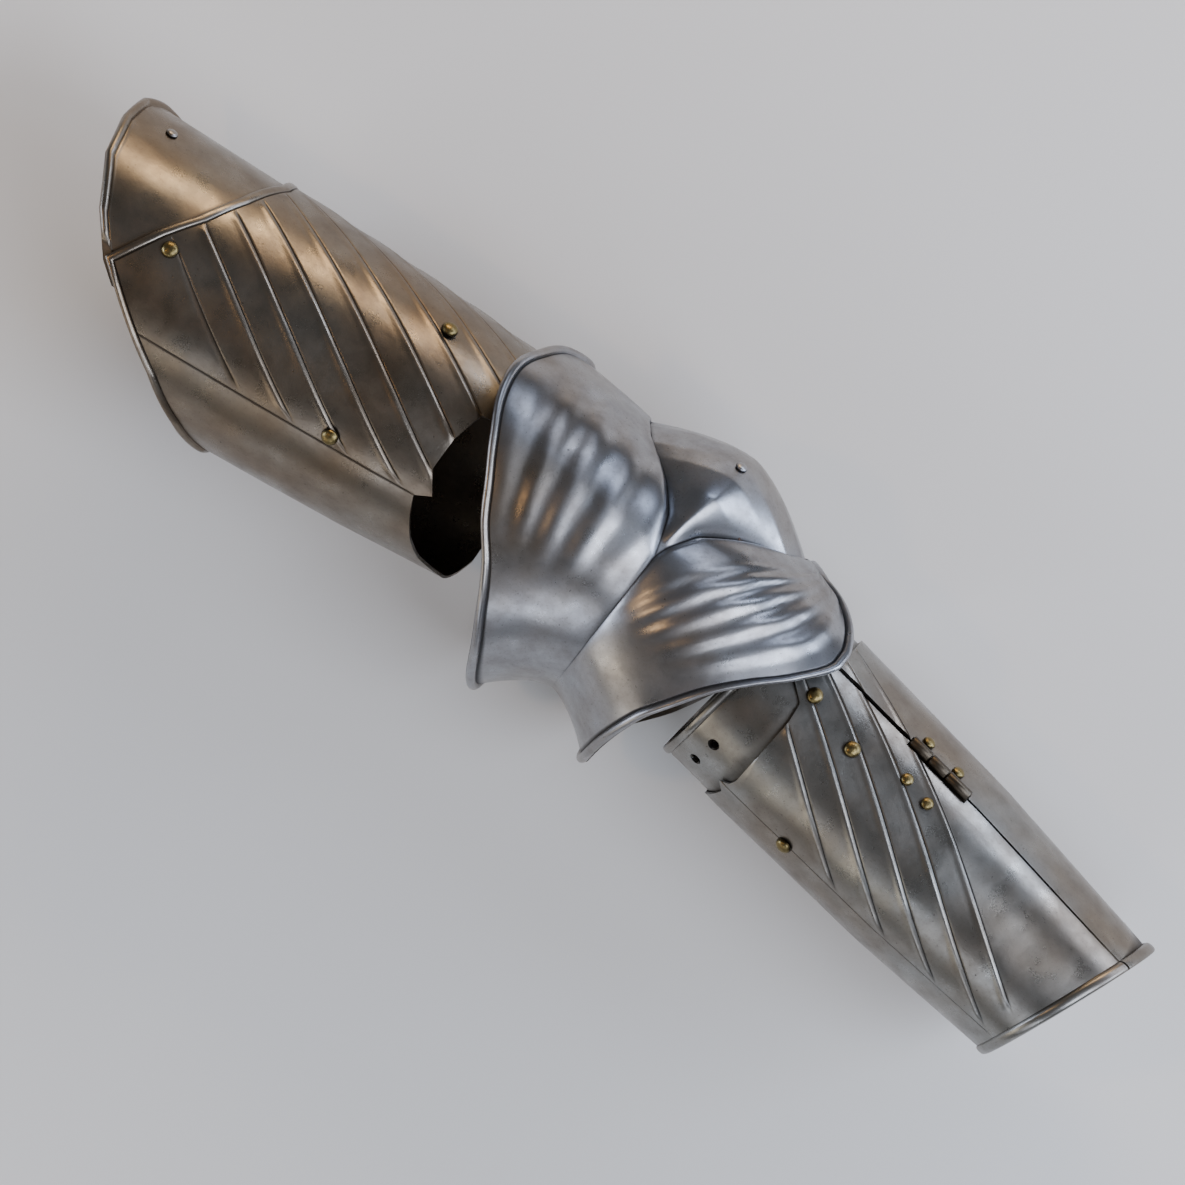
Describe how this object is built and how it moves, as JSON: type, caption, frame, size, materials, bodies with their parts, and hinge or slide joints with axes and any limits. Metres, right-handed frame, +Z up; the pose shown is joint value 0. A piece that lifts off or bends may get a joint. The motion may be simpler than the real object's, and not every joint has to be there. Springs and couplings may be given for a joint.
{
  "type": "vambrace",
  "caption": "Steel arm defence lying on its inner side: fluted upper cannon with a top plate, elbow cop with a two-lobed wing, and a hinged fluted lower cannon with brass rivets",
  "frame": {"origin": "on the table below the middle of the part's bounding box, as it lies on its inner side", "axes": "+X runs along the arm to the wrist, +Y points to the elbow's side, +Z up out of the arm's outer side"},
  "size_m": [0.5432, 0.1458, 0.1263],
  "materials": {
    "steel": "aged polished plate with fine pitting",
    "dark_steel": "darker worn steel",
    "brass": "worn rivet heads",
    "leather": "plain strap"
  },
  "bodies": {
    "arm": {"upper_top_plate": "steel", "upper_cannon": "steel", "couter": "steel", "elbow_leather": "leather", "lower_lame": "dark_steel", "lower_cannon_outer": "steel", "hinge_leaf_outer": "steel", "hinge_pin": "dark_steel", "rivet_tongue": "dark_steel", "rivet_plate_outer": "brass", "rivet_plate_inner": "brass", "rivet_upper_leather": "brass", "rivet_upper_strap": "brass", "rivet_lower_leather": "brass", "rivet_lower_outer": "brass", "rivet_lower_border": "brass", "closing_stud": "dark_steel", "rivet_leaf_outer_1": "brass", "rivet_leaf_outer_2": "brass", "rivet_couter": "dark_steel"},
    "inner_half": {"lower_cannon_inner": "steel", "hinge_leaf_inner": "steel", "rivet_leaf_inner_1": "brass", "rivet_leaf_inner_2": "brass"}
  },
  "joints": [
    {"name": "forearm_hinge", "type": "hinge", "parent": "arm", "child": "inner_half", "pos_m": [0.15521, 0.0195, 0.09338], "axis": [0.9928, -0.1201, -0.0009], "range_deg": [0, 100]}
  ]
}
